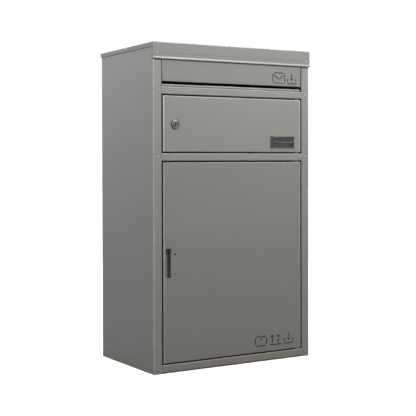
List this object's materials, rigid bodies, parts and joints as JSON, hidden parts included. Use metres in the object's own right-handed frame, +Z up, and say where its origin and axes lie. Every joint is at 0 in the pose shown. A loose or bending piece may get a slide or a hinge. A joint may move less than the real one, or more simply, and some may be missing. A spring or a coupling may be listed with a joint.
{
  "type": "parcel drop box",
  "caption": "Free-standing sheet-steel drop box with a mail flap over a locked mail compartment and a side-hung parcel door with a recessed pull below.",
  "frame": {"origin": "on the floor, under the middle of the bounding box", "axes": "+Z up; -Y out of the front, where the doors are; +X to the right as seen from the front"},
  "size_m": [0.5004, 0.3099, 0.8519],
  "materials": {
    "body_paint": "semi-gloss grey powder coat with a fine texture",
    "lid_paint": "semi-gloss grey powder coat with a fine texture",
    "door_paint": "semi-gloss grey powder coat with a fine texture",
    "inner_paint": "semi-gloss grey powder coat, thinner inside",
    "rivet_paint": "powder-coated over",
    "zinc": "bright zinc plate",
    "nickel": "satin nickel plate",
    "dark_plastic": "fine moulded texture",
    "pocket_plastic": "fine moulded texture",
    "card": "blank anthracite label strip",
    "window": "clear acrylic",
    "rubber": "matt",
    "dark_steel": "black oxide",
    "nylon": "natural nylon"
  },
  "bodies": {
    "cabinet": {"left_side_panel": "body_paint", "right_side_panel": "body_paint", "back_panel": "body_paint", "bottom_panel": "inner_paint", "bottom_rail": "body_paint", "mid_rail": "body_paint", "upper_rail": "body_paint", "header_rail": "inner_paint", "lid": "lid_paint", "lid_side_screws": "rivet_paint", "lid_lip_rivets": "rivet_paint", "frame_rivets": "rivet_paint", "back_rivets": "rivet_paint", "mail_shelf": "inner_paint", "letter_chute": "body_paint", "letter_baffle": "inner_paint", "flap_pivot_pins": "zinc", "flap_bumpers": "rubber", "hinge_pins": "zinc", "hinge_washers": "zinc", "door_bumpers": "rubber", "latch_bracket": "zinc", "bracket_rivets": "zinc", "latch_pin": "zinc", "latch_spacers": "nylon"},
    "flap": {"mail_flap": "door_paint"},
    "mail_door": {"mail_door": "door_paint", "lock_housing": "nickel", "lock_nut": "zinc", "nameplate_frame": "dark_plastic", "nameplate_strips": "card", "nameplate_window": "window"},
    "lock_rotor": {"lock_plug": "nickel", "lock_cam": "zinc", "lock_cam_screw": "zinc"},
    "parcel_door": {"parcel_door": "door_paint", "door_stiffener": "inner_paint", "finger_pocket": "pocket_plastic", "grip_plate": "door_paint", "grip_screws": "dark_steel", "keeper": "zinc", "keeper_rivets": "zinc"},
    "latch": {"latch_lever": "zinc", "latch_knob": "dark_plastic"}
  },
  "joints": [
    {"name": "flap_hinge", "type": "hinge", "parent": "cabinet", "child": "flap", "pos_m": [0, -0.145, 0.8], "axis": [-1, 0, 0], "range_deg": [0, 75]},
    {"name": "mail_door_hinge", "type": "hinge", "parent": "cabinet", "child": "mail_door", "pos_m": [0.2082, -0.1425, 0.6427], "axis": [0, 0, 1], "range_deg": [0, 110]},
    {"name": "mail_lock_turn", "type": "hinge", "parent": "mail_door", "child": "lock_rotor", "pos_m": [-0.1823, -0.1405, 0.642], "axis": [0, 1, 0], "range_deg": [0, 90]},
    {"name": "parcel_door_hinge", "type": "hinge", "parent": "cabinet", "child": "parcel_door", "pos_m": [0.2082, -0.1425, 0.2844], "axis": [0, 0, 1], "range_deg": [0, 110]},
    {"name": "parcel_latch", "type": "hinge", "parent": "cabinet", "child": "latch", "pos_m": [-0.18, -0.106, 0.53], "axis": [1, 0, 0], "range_deg": [0, 20]}
  ]
}
